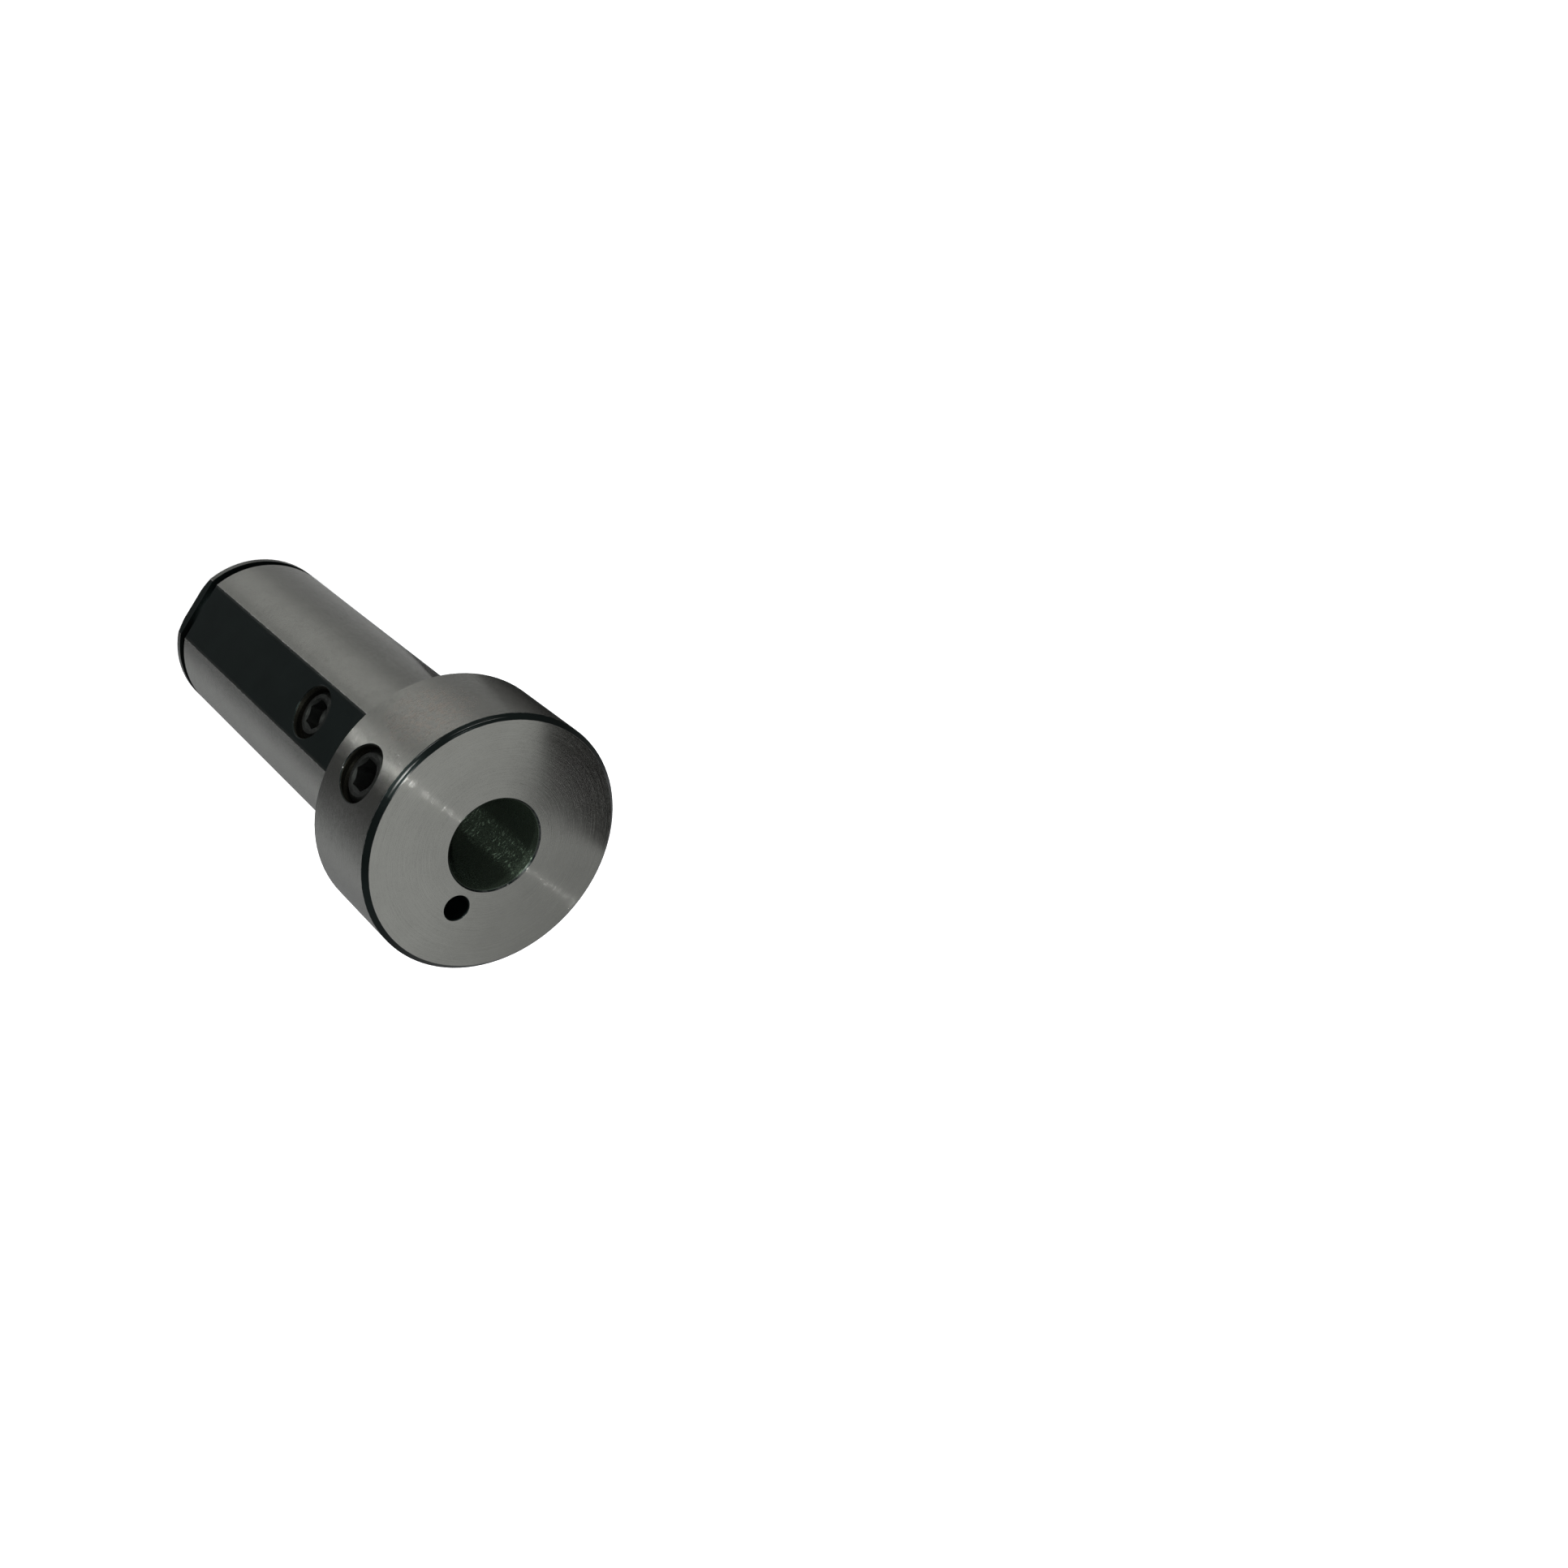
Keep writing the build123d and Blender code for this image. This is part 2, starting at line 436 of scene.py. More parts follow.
def edge_wear_and_highlights(p):
    """Thin lines and specks along the edges: partly black rubbed off, partly painted highlights where the
    edges would catch the light.
    """
    # This noise breaks up the wear and the painted highlights alike
    rubbed = p.f.noise(p.place, 1.1, 5.0, 0.7).ramp(0.42, 0.62)
    specks = p.f.noise(p.place, 2.6, 4.0, 0.75).ramp(0.60, 0.68)
    top = p.total_length

    # Along the two flats
    at_edge = p.radius.ramp(p.shank_radius - 0.03, p.shank_radius - 0.015)
    flat_edge = (p.side - p.flat_height + 0.01).line(0.0, 0.03)
    flat_edge = flat_edge * at_edge * p.z.between(TAIL_CHAMFER, p.neck_low, 0.1)

    # Round the collar's chamfer and the bore's mouth
    face_rim = (p.radius - p.face_edge).line(0.0, EDGE_LINE) * p.z.ramp(top - 0.06, top - 0.02)
    collar_rim = (p.z - p.collar_top).line(0.0, EDGE_LINE)
    collar_rim = collar_rim * p.radius.ramp(p.collar_radius - 0.1, p.collar_radius - 0.05)
    bore_rim = p.radius.between(p.bore_radius + 0.03, p.bore_radius + 0.2, EDGE_LINE)
    bore_rim = bore_rim * p.z.ramp(top - 0.3, top - 0.15)

    # Round the mouths of the tapped holes
    hole_rim = p.collar_hole.between(p.screw_hole_radius + 0.02, p.hole_edge, SOFT)
    hole_rim = hole_rim * p.screw_side * p.radius.ramp(11.0, 12.0)
    flat_hole_rim = p.flat_hole.between(p.screw_hole_radius + 0.04, p.hole_edge, SOFT) * p.x.ramp(9.0, 9.1)

    # On the tail
    tail_rim = p.radius.line(p.shank_radius - TAIL_CHAMFER, 0.05) * p.z.ramp(0.05, 0.0)
    tail_bore = p.radius.between(p.bore_radius - 0.02, p.bore_radius + 0.42, 0.05) * p.z.ramp(0.45, 0.38)

    wear_and_highlight = flat_edge * rubbed.pick(0.25, 0.8)
    wear_and_highlight = wear_and_highlight.over(face_rim.over(collar_rim) * rubbed * 0.2)
    wear_and_highlight = wear_and_highlight.over(bore_rim * specks.over(rubbed * 0.2) * 0.6)
    wear_and_highlight = wear_and_highlight.over(hole_rim.over(flat_hole_rim) * specks)
    wear_and_highlight = wear_and_highlight.over(tail_rim * rubbed)
    return wear_and_highlight.over(tail_bore * rubbed.pick(0.6, 1.0))


def handled_patch(p):
    """The mottled patch on the collar."""
    x, y, z = (place - middle for place, middle in zip((p.x, p.y, p.z), PATCH_MIDDLE))
    near = ((x * x + y * y + z * z) ** 0.5).ramp(6.5, 2.0)
    stain = p.f.noise(p.f.vector(p.x + 40.0, p.y, p.z), 1.6, 6.0, 0.8)
    return near * stain.ramp(0.42, 0.66)


def ground_steel(p, colours, wear_and_highlight):
    """Finely ground steel, with deeper scratches that sparkle where they turn a lamp to the eye."""
    f = p.f

    # Strokes are the fine finish, scratches the deeper ones, and glints where the deeper ones crowd
    strokes = p.turning(p.across * 14.0, 30.0, 2.0, 0.6)
    scratches = p.turning(p.across * 14.0, p.on_face.pick(*SCRATCH_FREQUENCY), 1.0, 0.5)
    glints = p.turning(p.across * 6.0, 26.0, 2.0, 0.6)
    mottle = handled_patch(p)
    # The face's colour is 7% lighter than the outside's: painted light
    tone = p.marks.spread(0.985, 1.015) * p.cloud.spread(0.97, 1.03) * p.on_face.pick(*STEEL_TONE)
    shade = f.mix(mottle * 0.8, rgba(colours.ground_steel), rgba(colours.handled_steel))
    # Wear and painted edge highlights show in the bare steel colour
    shade = f.tint(f.mix(wear_and_highlight, shade, rgba(colours.bare_edge_and_highlight)), tone)
    ground = f.turned_shader(
        1.0,
        Base_Color=shade,
        Metallic=1.0,
        Roughness=p.on_face.pick(*STEEL_ROUGHNESS) + mottle * 0.04,
        Normal=f.bump(strokes * p.on_face.pick(*STROKE_HEIGHT)),
    )
    scratched = f.turned_shader(
        1.0,
        Base_Color=shade,
        Metallic=1.0,
        Roughness=SCRATCH_ROUGHNESS,
        Normal=f.bump(scratches * p.on_face.pick(*SCRATCH_HEIGHT)),
    )
    share = glints.ramp(0.40, 0.62, 0.12, 0.34) * p.on_face.pick(*SCRATCH_AMOUNT)
    return f.mix_shader(share, ground, scratched)


def hole_thread(p, in_collar_hole, in_flat_hole):
    """The thread in the two tapped holes, one millimetre to the turn, between zero and a half."""
    per_radian = 1.0 / (2.0 * math.pi)
    at_collar = (p.x - p.above_collar_hole.math("ARCTAN2", p.y) * per_radian).math("FRACT")
    at_flat = (p.x - p.above_flat_hole.math("ARCTAN2", p.y) * per_radian).math("FRACT")
    return abs(at_collar - 0.5) * in_collar_hole + abs(at_flat - 0.5) * in_flat_hole


def black_oxide(p, colours, wear_and_highlight):
    """Black oxide: lighter on the milled flats and the tail face than on the turned edges."""
    f = p.f
    in_collar_hole = p.in_hole(p.collar_hole)
    in_flat_hole = p.in_hole(p.flat_hole)
    in_hole = in_collar_hole.over(in_flat_hole) * (1.0 - p.in_bore)

    # Milled flats and turned edges: the flats end at the undercut's floor
    flat_end = p.neck_low + 1.0
    milled = p.side.between(p.flat_height - 0.02, p.shank_radius, 0.01)
    milled = milled * p.z.ramp(flat_end + 0.1, flat_end - 0.1)
    milled = milled.over(p.z.ramp(0.02, 0.01))
    # The groove is painted lighter, as painted light against the shade that falls in it
    in_groove = p.z.between(p.groove_low + 0.02, p.groove_high - 0.02, 0.02)
    in_groove = in_groove * p.radius.ramp(p.bore_radius + 1.0, p.bore_radius + 2.0)
    tone = p.cloud.spread(0.92, 1.08) * milled.pick(*OXIDE_TONE) + in_groove * 0.3
    shade = f.tint(rgba(colours.black_oxide), tone)

    # The bore: short bumped marks on one side, painted bright there as a painted highlight band
    chatter = p.turning(p.z * 5.0, 9.0, 3.0, 0.7)
    in_glint_band = p.towards(GLINT_BAND_SIDE, 24, 4) * p.in_bore
    flecks = p.turning(p.z * 4.5, 9.0, 2.0, 0.6).ramp(0.57, 0.68) * in_glint_band
    bore_tone = chatter.ramp(0.45, 0.75, 0.8, 1.3) * in_glint_band.pick(*BORE_TONE) + flecks * FLECK_HIGHLIGHT_TONE
    shade = f.mix(p.in_bore, shade, f.tint(rgba(colours.bore_steel), bore_tone))

    # The front chamfer, with ridges on one side painted bright as painted highlight lines, and the walls of
    # the tapped holes
    ridges = p.turning((p.radius - p.z) * 7.0, 1.5, 1.0, 0.5)
    on_chamfer = p.z.ramp(p.collar_top - 0.01, p.collar_top + 0.02)
    on_chamfer = on_chamfer * p.radius.ramp(p.face_edge - 0.05, p.face_edge)
    ridged_and_highlit = on_chamfer * ridges.ramp(0.56, 0.64) * p.towards(HIGHLIT_CHAMFER_SIDE, 32, 18)
    oily = f.tint(rgba(colours.oily_steel), p.grain.spread(0.7, 1.3))
    shade = f.mix(in_hole, shade, oily)
    # Wear and painted highlights on the edges, and the chamfer's painted highlight lines, in the bare steel
    # colour
    shade = f.mix(wear_and_highlight.over(ridged_and_highlit * 0.35), shade, rgba(colours.bare_edge_and_highlight))

    roughness = p.grain.spread(0.34, 0.42) - p.in_bore * 0.10 - on_chamfer * 0.04 + in_hole * 0.10
    height = p.grain * GRAIN_HEIGHT + p.marks * MARK_HEIGHT + ridges * ridged_and_highlit * RIDGE_HEIGHT
    height = height + chatter * p.in_bore * CHATTER_HEIGHT + flecks * FLECK_HEIGHT
    height = height + hole_thread(p, in_collar_hole, in_flat_hole) * THREAD_HEIGHT
    return f.turned_shader(
        0.5,
        Base_Color=shade,
        Metallic=1.0 - p.in_bore * 0.5,
        Roughness=roughness,
        Normal=f.bump(height),
    )


def sleeve_finish(sizes, colours):
    """Ground steel outside and on the face, black oxide elsewhere, rubbed bright along the edges, with
    painted highlights there too.
    """
    material = bpy.data.materials.new("ground_and_blackened_steel")
    p = SleevePlaces(emptied(material), sizes)
    wear_and_highlight = edge_wear_and_highlights(p)
    oxide = black_oxide(p, colours, wear_and_highlight)
    steel = ground_steel(p, colours, wear_and_highlight)
    p.f.surface(p.f.mix_shader(ground_zones(p), oxide, steel))
    return material


# Set screws

# Depth of each hexagon, and its turn about the screw's axis in degrees
COLLAR_KEY = (3.5 * MM, 27.0)
FLAT_KEY = (1.6 * MM, 20.0)

# How much wider the lead-in's radius is than the hexagon's corners
KEY_LEAD_IN = 0.12 * MM

# Half angles of the cup and the lead-in, and of the drilled socket floor, in degrees
CUP_HALF_ANGLE = 60
DRILL_HALF_ANGLE = 59

# The thread's flat crest and its flank, as shares of half the pitch
CREST_SHARE = 0.125
FLANK_SHARE = 0.625

# Edges bent by more than this are shaded sharp, in degrees
SHARP_ANGLE = 28


def screw_finish(sizes, screw, colours):
    """Blackened screw steel, rubbed a little on the thread crests and round the socket, with painted shade
    in the socket.
    """
    material = bpy.data.materials.new("blackened_screw_steel")
    f = emptied(material)
    x, y, z = f.place()
    collar_height = sizes.collar_hole_height / MM
    flat_height = sizes.flat_hole_height / MM
    on_collar_screw = z.math("GREATER_THAN", (collar_height + flat_height) / 2)
    up = z - flat_height - on_collar_screw * (collar_height - flat_height)
    radius = distance(y, up)
    place = f.vector(x, y, z)
    grain = f.noise(place, 8.0, 3.0, 0.6)
    blotch = f.noise(place, 1.3, 3.0, 0.5)
    scuffs = f.noise(place, 3.0, 4.0, 0.7).ramp(0.48, 0.64)
    socket_edge = (screw.key_size / math.sqrt(3) + KEY_LEAD_IN) / MM
    in_socket = radius.ramp(socket_edge + 0.05, socket_edge - 0.05)
    socket_rim = radius.line(socket_edge + 0.1, 0.14)
    crests = radius.ramp(screw.major_radius / MM - 0.12, screw.major_radius / MM - 0.03)
    # The socket's colour is darkened to 0.6 of the rest: painted shade in the recess
    tone = grain.spread(0.85, 1.15) * blotch.spread(0.8, 1.2) * in_socket.pick(1.0, 0.6)
    wear_and_highlight = (socket_rim * 0.12).over(crests * 0.35) * scuffs
    shade = f.mix(wear_and_highlight, f.tint(rgba(colours.screw_black), tone), rgba(colours.bare_edge_and_highlight))
    roughness = grain.spread(0.38, 0.50) - wear_and_highlight * 0.2 + in_socket * 0.1
    f.surface(f.shader(Base_Color=shade, Metallic=1.0, Roughness=roughness, Normal=f.bump(grain * 0.004)))
    return material


def thread_cutter():
    """A node tree that sinks a 60 degree thread into the outside of a screw that lies along X."""
    tree = bpy.data.node_groups.new("cut_set_screw_thread", "GeometryNodeTree")
    face = tree.interface
    face.new_socket("Geometry", in_out="INPUT", socket_type="NodeSocketGeometry")
    for name in ("Thread Radius", "Thread Depth", "Pitch", "Axis Height"):
        face.new_socket(name, in_out="INPUT", socket_type="NodeSocketFloat")
    face.new_socket("Material", in_out="INPUT", socket_type="NodeSocketMaterial")
    face.new_socket("Geometry", in_out="OUTPUT", socket_type="NodeSocketGeometry")
    f = Nodes(tree)
    given = {socket.name: Wire(f, socket) for socket in f.node("NodeGroupInput").outputs}
    along, across, height = f.parts(f.wire("GeometryNodeInputPosition", "Position"))
    up = height - given["Axis Height"]
    radius = distance(across, up)
    turn = up.math("ARCTAN2", across) / (2.0 * math.pi)

    # A right-handed thread: one pitch along X for each turn
    phase = (along / given["Pitch"] - turn).math("FRACT")
    from_crest = abs(phase - 0.5) * 2.0
    sunk = ((1.0 - from_crest - CREST_SHARE) / FLANK_SHARE).over(0.0).under(1.0)
    cut_radius = given["Thread Radius"] - given["Thread Depth"] * sunk
    scale = radius.under(cut_radius) / radius.over(1e-6)

    # Only the outside moves, and the screw's axis stays where it is
    weight = f.wire("GeometryNodeInputNamedAttribute", 0, {"data_type": "FLOAT"}, {"Name": "outside"})
    outside = weight.math("GREATER_THAN", 0.5)
    place = f.vector(along, across * scale, up * scale + given["Axis Height"])
    inputs = {"Geometry": given["Geometry"], "Selection": outside, "Position": place}
    moved = f.wire("GeometryNodeSetPosition", 0, inputs=inputs)
    realized = f.wire("GeometryNodeRealizeInstances", 0, inputs={"Geometry": moved})
    painted = {"Geometry": realized, "Material": given["Material"]}
    finished = f.wire("GeometryNodeSetMaterial", 0, inputs=painted)
    f.node("NodeGroupOutput", inputs={"Geometry": finished})
    return tree


class ScrewBlank:
    """A closed screw along X, made ring by ring from its cup point to its socket's floor."""

    def __init__(self, box, key_turn, sizes):
        self.tip = box[0].x
        self.top = box[1].x
        self.height = (box[0].z + box[1].z) / 2
        self.key_turn = math.radians(key_turn)
        self.flat = sizes.key_size / 2
        self.sizes = sizes
        step = 2 * math.pi / sizes.columns
        self.angles = [step * i + self.key_turn for i in range(sizes.columns)]
        self.mesh = bmesh.new()
        self.outside = self.mesh.verts.layers.float.new("outside")
        self.rings = []

    def hexagon(self, angle):
        """The hexagon's radius at an angle, with a corner at the key's turn."""
        sixth = math.radians(60)
        from_corner = (angle - self.key_turn + sixth / 2) % sixth - sixth / 2
        return self.flat / math.cos(sixth / 2 - abs(from_corner))

    def ring(self, place, radius, weight=0.0):
        """A ring at a place along X, where the place and the radius may depend on the angle."""
        verts = []
        for angle in self.angles:
            at = place(angle) if callable(place) else place
            r = radius(angle) if callable(radius) else radius
            vert = self.mesh.verts.new((at, r * math.cos(angle), self.height + r * math.sin(angle)))
            vert[self.outside] = weight
            verts.append(vert)
        self.rings.append(verts)

    def point(self):
        """The cup and the ring round it. Returns the cup's deepest vertex."""
        s = self.sizes
        slope = math.tan(math.radians(CUP_HALF_ANGLE))
        pole = self.mesh.verts.new((self.tip + s.cup_radius / slope, 0, self.height))
        self.ring(self.tip + s.cup_radius * 0.5 / slope, s.cup_radius * 0.5)
        self.ring(self.tip, s.cup_radius)
        self.ring(self.tip, s.tip_radius)
        return pole

    def body(self):
        """The outside, in rows fine enough for the thread, with a chamfer at each end."""
        s = self.sizes
        rows = max(2, round((self.top - self.tip) / (s.pitch / s.rows_per_turn)))
        top_slope = (s.major_radius - s.top_radius) / s.top_chamfer
        for i in range(1, rows):
            at = self.tip + (self.top - self.tip) * i / rows
            from_tip = s.tip_radius + (at - self.tip)
            from_top = s.top_radius + (self.top - at) * top_slope
            self.ring(at, min(s.major_radius, from_tip, from_top), 1.0)

    def socket(self, key_depth):
        """The flat ring, lead-in, hexagon and drilled floor. Returns the floor's deepest vertex."""
        slope = math.tan(math.radians(CUP_HALF_ANGLE))
        drill = math.tan(math.radians(DRILL_HALF_ANGLE))
        lead_in = self.flat / math.cos(math.radians(30)) + KEY_LEAD_IN
        floor = self.top - key_depth
        self.ring(self.top, self.sizes.top_radius)
        self.ring(self.top, lead_in)
        self.ring(lambda angle: self.top - (lead_in - self.hexagon(angle)) / slope, self.hexagon)
        self.ring(floor, self.hexagon)
        self.ring(floor, self.flat)
        self.ring(floor - self.flat * 0.5 / drill, self.flat * 0.5)
        return self.mesh.verts.new((floor - self.flat / drill, 0, self.height))

    def close(self, cup_pole, socket_pole):
        """Faces between the rings and round the two poles."""
        columns = len(self.angles)
        for i in range(columns):
            j = (i + 1) % columns
            for lower, upper in zip(self.rings, self.rings[1:]):
                self.mesh.faces.new((lower[i], lower[j], upper[j], upper[i]))
            self.mesh.faces.new((cup_pole, self.rings[0][j], self.rings[0][i]))
            self.mesh.faces.new((socket_pole, self.rings[-1][i], self.rings[-1][j]))
        self.mesh.normal_update()
        bmesh.ops.recalc_face_normals(self.mesh, faces=self.mesh.faces)

    def make(self, name, key_depth):
        """The blank as an object, unthreaded."""
        cup_pole = self.point()
        self.body()
        socket_pole = self.socket(key_depth)
        self.close(cup_pole, socket_pole)
        data = bpy.data.meshes.new(name)
        self.mesh.to_mesh(data)
        self.mesh.free()
        return linked(name, data)


def linked(name, data):
    """A new object in the scene."""
    made = bpy.data.objects.new(name, data)
    bpy.context.scene.collection.objects.link(made)
    return made


def threaded_screw(name, box, key, sizes, tree, material):
    """A blank with its thread cut and its edges shaded sharp, as a plain mesh."""
    key_depth, key_turn = key
    blank = ScrewBlank(box, key_turn, sizes)
    piece = blank.make(name + "_blank", key_depth)
    modifier = piece.modifiers.new("thread", "NODES")
    modifier.node_group = tree
    values = {
        "Thread Radius": sizes.major_radius,
        "Thread Depth": sizes.thread_depth,
        "Pitch": sizes.pitch,
        "Axis Height": blank.height,
        "Material": material,
    }
    for item in tree.interface.items_tree:
        if item.in_out == "INPUT" and item.name in values:
            modifier[item.identifier] = values[item.name]
    bpy.context.view_layer.update()
    evaluated = piece.evaluated_get(bpy.context.evaluated_depsgraph_get())
    data = bpy.data.meshes.new_from_object(evaluated)
    data.name = name
    finished = linked(name, data)
    bpy.data.objects.remove(piece)
    for polygon in data.polygons:
        polygon.use_smooth = True
    data.set_sharp_from_angle(angle=math.radians(SHARP_ANGLE))
    return finished


# The stage

# Soft dark cards round the stage: middle, inner and outer half width in degrees, then depth
CARDS = (
    (33.0, 22.0, 46.0, 0.85),
    (-30.0, 2.0, 12.0, 0.25),
    (-104.0, 12.0, 38.0, 0.58),
    (-142.0, 12.0, 40.0, 0.27),
    (145.0, 20.0, 78.0, 0.62),
)
# One more in front of the sleeve, by the direction to its middle
FRONT_CARD = (Vector((0.80, -0.12, 0.60)).normalized(), 14.0, 44.0, 0.85)

# The card close behind the collar, in metres: its place along X, and its range in Y and in Z
NEAR_CARD_X = -0.0185
NEAR_CARD_Y = (-0.045, 0.040)
NEAR_CARD_Z = (0.004, 0.130)

# Half the floor's side, the gap that keeps it from touching the tail, and its glow to the camera
FLOOR_HALF = 3.0
FLOOR_GAP = 0.00002
FLOOR_GLOW = 0.42

# The lamps look at the middle of the sleeve: name, direction, distance and size in metres, and watts
LAMP_TARGET = Vector((0, 0, 0.035))
SOFT_LAMP = ("soft_lamp", (-0.4, 0.3, 0.8), 0.8, 0.5, 2.4)
SPARK_LAMPS = (
    ("top_spark_lamp", (0.30, -0.0024, 0.954), 0.9, 0.012, 0.5),
    ("high_spark_lamp", (0.57, -0.0476, 0.82), 0.9, 0.012, 4.0),
    ("low_spark_lamp", (0.982, -0.1165, 0.15), 0.9, 0.016, 3.0),
)

# The photograph's camera: its place and axes in the sleeve's frame, and its focal length and the
# photograph's width in pixels
CAMERA_PLACE = (0.108372, -0.026484, 0.196128)
CAMERA_RIGHT = Vector((-0.605679, -0.525968, 0.597085))
CAMERA_UP = Vector((0.344516, -0.849743, -0.399057))
FOCAL_PIXELS = 2138.65
PHOTO_PIXELS = 1932.0
SENSOR_WIDTH = 36.0


def dark_card(along, inner, outer, depth):
    """The light that a card leaves, from the cosine of the angle to its middle."""
    return 1.0 - along.ramp(cosine(outer), cosine(inner)) * depth


def card_pattern(x, y):
    """How much of the studio's light comes back low down from a direction."""
    reach = distance(x, y).over(1e-6)
    light = None
    for middle, inner, outer, depth in CARDS:
        towards_x, towards_y = turned(middle)
        left = dark_card((x * towards_x + y * towards_y) / reach, inner, outer, depth)
        light = left if light is None else light * left
    return light


def one_face(name, corners):
    """An object with one four-sided face."""
    data = bpy.data.meshes.new(name)
    data.from_pydata(corners, [], [(0, 1, 2, 3)])
    return linked(name, data)


def lay_floor(colours):
    """A pale floor that shows white to the camera and keeps the shadow."""
    half = FLOOR_HALF
    floor = one_face("floor", [(-half, -half, 0), (half, -half, 0), (half, half, 0), (-half, half, 0)])
    floor.location = (0, 0, -FLOOR_GAP)
    floor.visible_glossy = False
    material = bpy.data.materials.new("pale_floor")
    f = emptied(material)
    camera = f.wire("ShaderNodeLightPath", "Is Camera Ray")
    matte = f.shader(Base_Color=rgba(colours.floor), Roughness=0.9, Specular_IOR_Level=0.0)
    inputs = {"Color": (1, 1, 1, 1), "Strength": camera * FLOOR_GLOW}
    glow = f.wire("ShaderNodeEmission", "Emission", inputs=inputs)
    f.surface(f.wire("ShaderNodeAddShader", "Shader", inputs={0: matte, 1: glow}))
    floor.data.materials.append(material)


def hang_near_card():
    """A dark card close behind the collar and a thin veil round it, seen only in reflections."""
    at = NEAR_CARD_X
    low_y, high_y = NEAR_CARD_Y
    low_z, high_z = NEAR_CARD_Z
    corners = [(at, low_y, low_z), (at, high_y, low_z), (at, high_y, high_z), (at, low_y, high_z)]
    card = one_face("near_card", corners)
    material = bpy.data.materials.new("dark_card")
    f = emptied(material)
    x, y, z = f.place()

    # The card's outline, as the front face mirrors it, in millimetres
    above_collar = z.ramp(62.0, 63.0)
    upper = y.between(-30.0, -2.5, 1.0) * (z + y * 0.94).ramp(78.95, 78.25) * above_collar
    lower = y.ramp(-14.0, -16.0) * z.ramp(60.0, 56.0)
    veil = above_collar * (z * 0.8 + y * 0.25).ramp(80.0, 56.0) * 0.40
    black = f.shader(Base_Color=(0.02, 0.02, 0.02, 1), Roughness=0.9, Specular_IOR_Level=0.0)
    clear = f.wire("ShaderNodeBsdfTransparent", "BSDF")
    f.surface(f.mix_shader(upper.over(lower).over(veil), clear, black))
    card.data.materials.append(material)

    # Only shiny surfaces see it
    for ray in ("camera", "diffuse", "transmission", "volume_scatter", "shadow"):
        setattr(card, "visible_" + ray, False)


def studio_world(colours):
    """White to the camera, and white with soft dark cards low down to shiny metal."""
    world = bpy.data.worlds.new("studio")
    f = emptied(world)
    x, y, z = f.parts(f.wire("ShaderNodeTexCoord", "Generated"))
    level = card_pattern(x, y)
    level = level + (1.0 - level) * z.ramp(0.25, 0.75)
    middle, inner, outer, depth = FRONT_CARD
    level = level * dark_card(x * middle.x + y * middle.y + z * middle.z, inner, outer, depth)
    level = level * z.ramp(-0.98, -0.92, 0.1, 1.0)
    camera = f.wire("ShaderNodeLightPath", "Is Camera Ray")
    cool = y.ramp(-0.6, 0.6) * (1.0 - camera)
    shade = f.mix(cool, (1.0, 1.0, 1.0, 1.0), rgba(colours.cool_light))
    inputs = {"Color": shade, "Strength": level * (1.0 - camera) + camera}
    f.surface(f.wire("ShaderNodeBackground", "Background", inputs=inputs), "ShaderNodeOutputWorld")
    return world


def area_lamp(name, towards, reach, size, watts):
    """An area lamp that looks at the middle of the sleeve from a direction."""
    data = bpy.data.lights.new(name, "AREA")
    data.shape = "RECTANGLE"
    data.size = size
    data.size_y = size
    data.energy = watts
    lamp = linked(name, data)
    direction = Vector(towards).normalized()
    lamp.location = LAMP_TARGET + direction * reach
    lamp.rotation_euler = direction.to_track_quat("Z", "Y").to_euler()
    return lamp


def photo_camera():
    """A camera at the photograph's viewpoint."""
    data = bpy.data.cameras.new("photo_camera")
    data.sensor_fit = "HORIZONTAL"
    data.sensor_width = SENSOR_WIDTH
    data.lens = FOCAL_PIXELS / PHOTO_PIXELS * SENSOR_WIDTH
    data.clip_start = 0.01
    camera = linked("photo_camera", data)
    back = CAMERA_RIGHT.cross(CAMERA_UP)
    turn = Matrix((CAMERA_RIGHT, CAMERA_UP, back)).transposed().to_4x4()
    camera.matrix_world = Matrix.Translation(CAMERA_PLACE) @ turn
    return camera


# Operators


class SLEEVE_OT_body(bpy.types.Operator):
    """Finishes the sleeve: ground outside and face, black oxide in its grooves, flats and bore"""

    bl_idname = "sleeve.finish_body"
    bl_label = "Finish the sleeve body"

    def execute(self, context):
        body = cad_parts["sleeve_body"]
        material = sleeve_finish(context.scene.sleeve_sizes, context.scene.sleeve_colours)
        body.data.materials.clear()
        body.data.materials.append(material)
        return {"FINISHED"}


class SLEEVE_OT_screws(bpy.types.Operator):
    """Makes the two set screws with cut threads, hexagon sockets and cup points"""

    bl_idname = "sleeve.make_screws"
    bl_label = "Make the set screws"

    def execute(self, context):
        scene = context.scene
        sizes = scene.sleeve_screw
        material = screw_finish(scene.sleeve_sizes, sizes, scene.sleeve_colours)
        tree = thread_cutter()
        collar = threaded_screw("collar_set_screw", COLLAR_SCREW_BOX, COLLAR_KEY, sizes, tree, material)
        flat = threaded_screw("flat_set_screw", FLAT_SCREW_BOX, FLAT_KEY, sizes, tree, material)
        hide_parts("collar_screw")
        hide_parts("flat_screw")
        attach(collar, "collar_set_screw")
        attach(flat, "flat_set_screw")
        return {"FINISHED"}


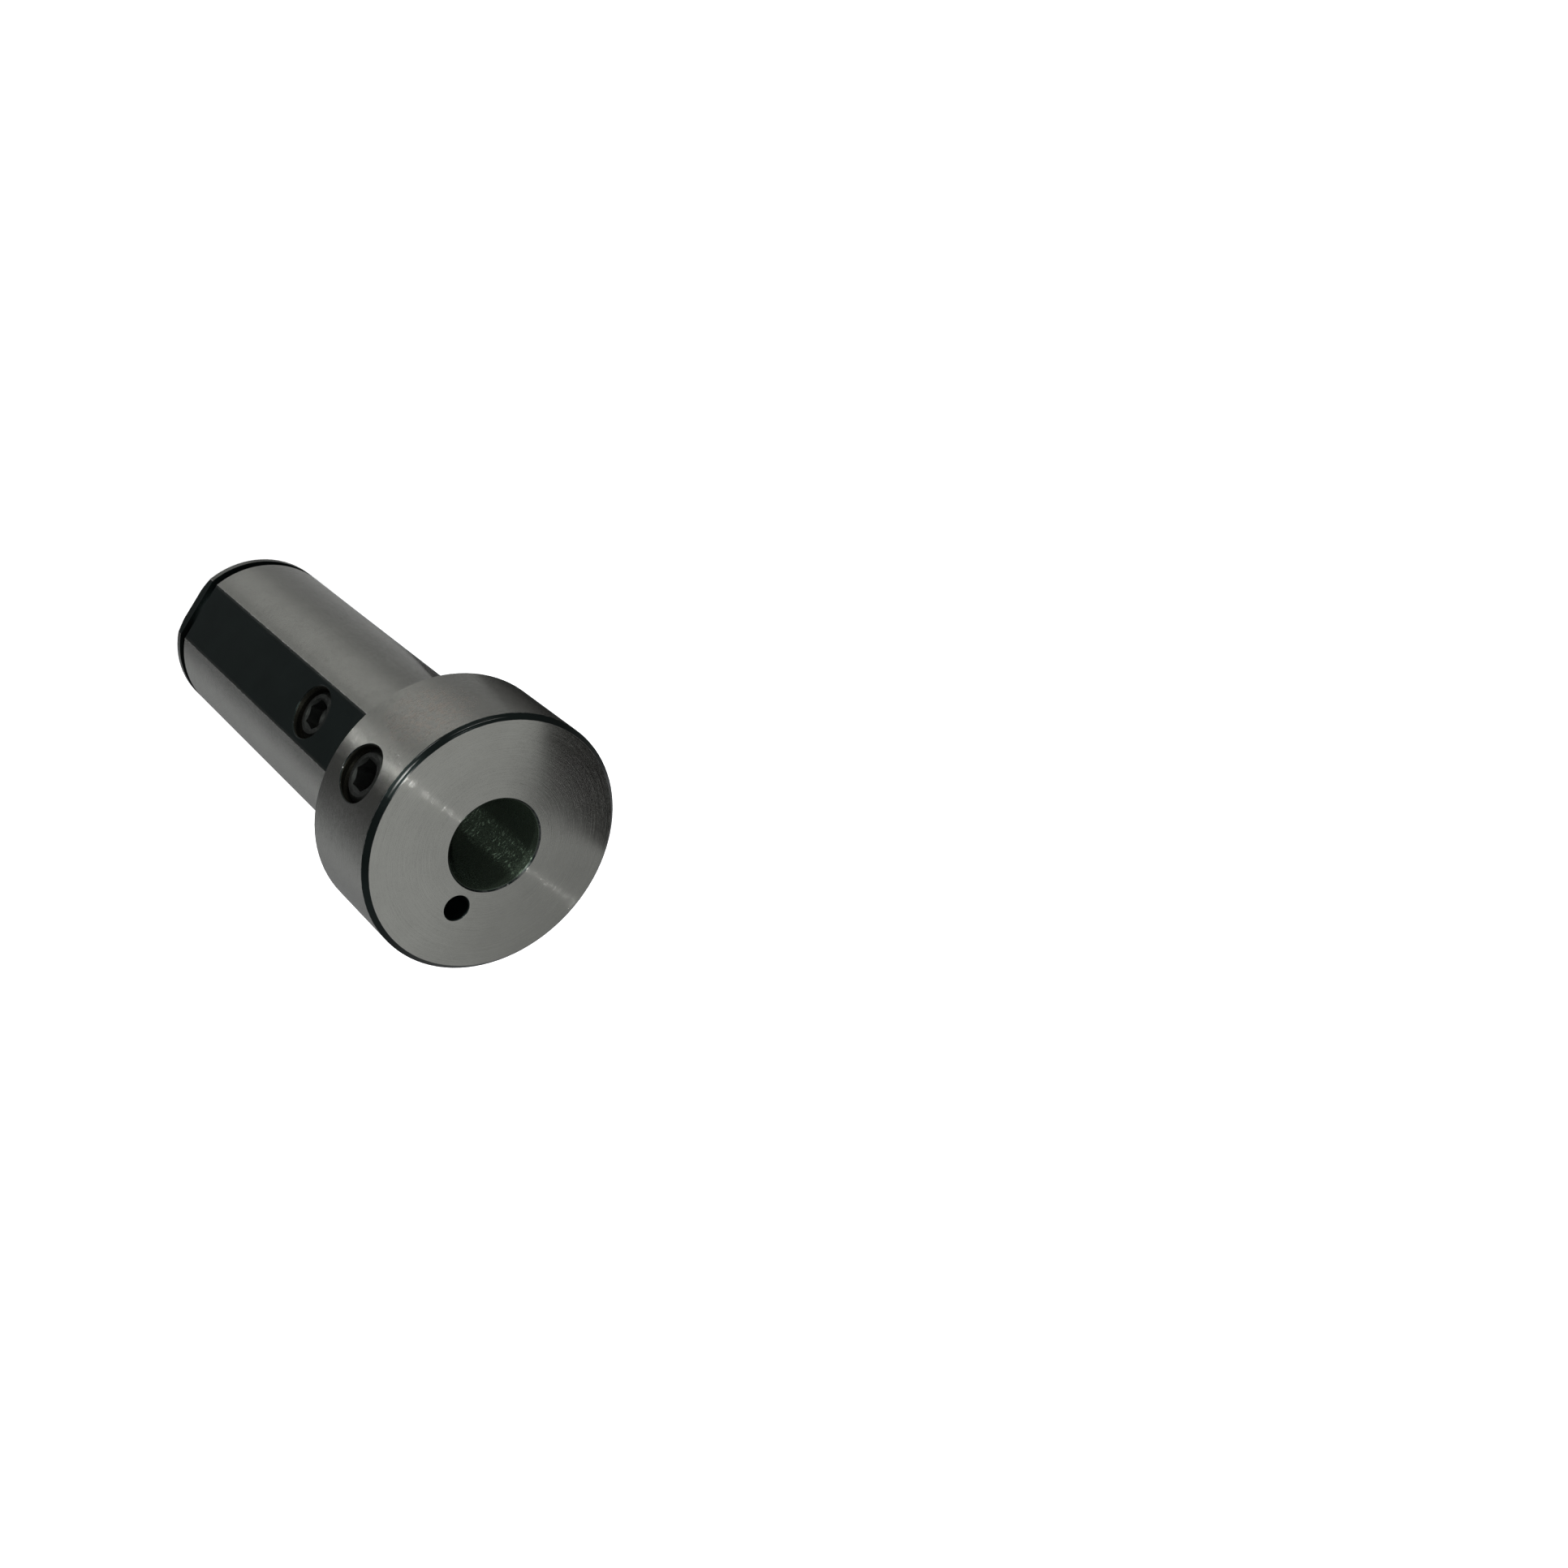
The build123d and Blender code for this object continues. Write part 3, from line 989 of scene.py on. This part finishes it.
class SLEEVE_OT_stage(bpy.types.Operator):
    """Sets up the floor, the lights and the camera"""

    bl_idname = "sleeve.set_stage"
    bl_label = "Set the stage"

    def execute(self, context):
        scene = context.scene
        lay_floor(scene.sleeve_colours)
        hang_near_card()
        scene.world = studio_world(scene.sleeve_colours)

        # The soft lamp only makes the shadow, and the small ones the bright line across the turning marks
        soft = area_lamp(*SOFT_LAMP)
        soft.visible_glossy = False
        for lamp in SPARK_LAMPS:
            area_lamp(*lamp)
        scene.camera = photo_camera()
        scene.view_settings.view_transform = "Standard"
        return {"FINISHED"}


class SLEEVE_PT_panel(bpy.types.Panel):
    """Lists the steps that build the sleeve's looks"""

    bl_idname = "SLEEVE_PT_panel"
    bl_label = "Reducing sleeve"
    bl_space_type = "VIEW_3D"
    bl_region_type = "UI"
    bl_category = "Sleeve"

    def draw(self, context):
        layout = self.layout
        for step in STEPS:
            layout.operator(step.bl_idname)
        for name in GROUPS:
            group = getattr(context.scene, name)
            box = layout.box()
            for key in group.__annotations__:
                box.prop(group, key)


STEPS = (SLEEVE_OT_body, SLEEVE_OT_screws, SLEEVE_OT_stage)
GROUPS = {
    "sleeve_sizes": SLEEVE_PG_sizes,
    "sleeve_screw": SLEEVE_PG_screw,
    "sleeve_colours": SLEEVE_PG_colours,
}


def register():
    for group in GROUPS.values():
        bpy.utils.register_class(group)
    for name, group in GROUPS.items():
        setattr(bpy.types.Scene, name, PointerProperty(type=group))
    for step in STEPS:
        bpy.utils.register_class(step)
    bpy.utils.register_class(SLEEVE_PT_panel)


def unregister():
    bpy.utils.unregister_class(SLEEVE_PT_panel)
    for step in reversed(STEPS):
        bpy.utils.unregister_class(step)
    for name in GROUPS:
        delattr(bpy.types.Scene, name)
    for group in GROUPS.values():
        bpy.utils.unregister_class(group)


def main():
    """Registers the add-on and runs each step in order."""
    register()
    bpy.ops.sleeve.finish_body()
    bpy.ops.sleeve.make_screws()
    bpy.ops.sleeve.set_stage()


if __name__ == "__main__":
    main()
